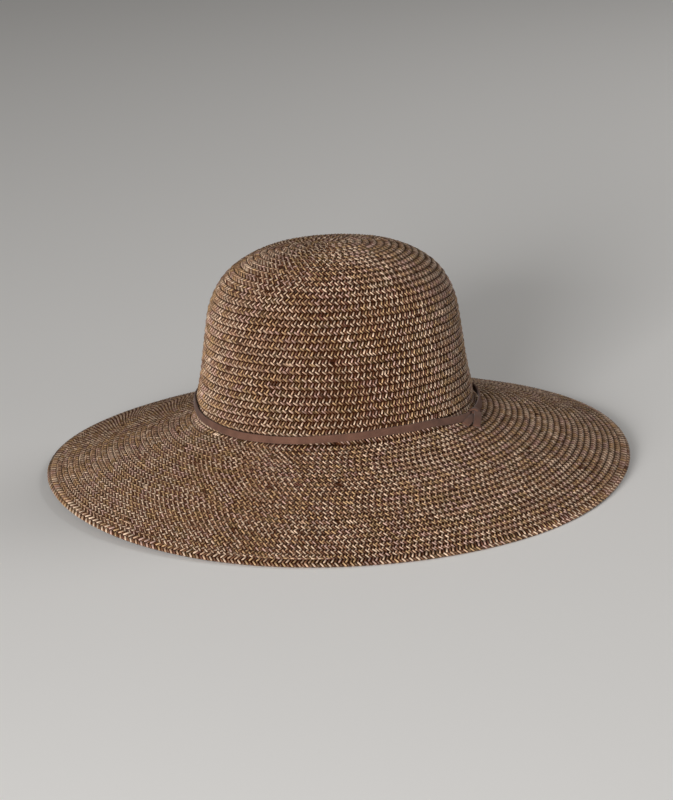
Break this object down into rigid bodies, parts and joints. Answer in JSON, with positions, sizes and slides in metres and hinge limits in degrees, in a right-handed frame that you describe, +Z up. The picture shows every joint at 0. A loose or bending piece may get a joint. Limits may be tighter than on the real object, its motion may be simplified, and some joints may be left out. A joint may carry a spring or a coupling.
{
  "type": "wide brim hat",
  "caption": "Wide brim straw sun hat with a domed crown, a sloping brim, a finished brim edge and a thin suede lace knotted round the crown.",
  "frame": {"origin": "middle of the brim's outline, on the surface that the hat rests on", "axes": "+Z up through the crown, -Y towards the hat's front, +X towards the wearer's left"},
  "size_m": [0.3864, 0.4076, 0.1524],
  "materials": {
    "straw_braid": "braided paper straw, matte, brown with cream and tan strands",
    "straw_edge": "braided paper straw, matte, the last row that finishes the edge",
    "suede_lace": "brown suede, soft and matte"
  },
  "bodies": {
    "root": {"crown": "straw_braid", "brim": "straw_braid", "brim_edge": "straw_edge", "hat_lace": "suede_lace", "lace_knot": "suede_lace", "lace_tail_long": "suede_lace", "lace_tail_short": "suede_lace"}
  },
  "joints": []
}
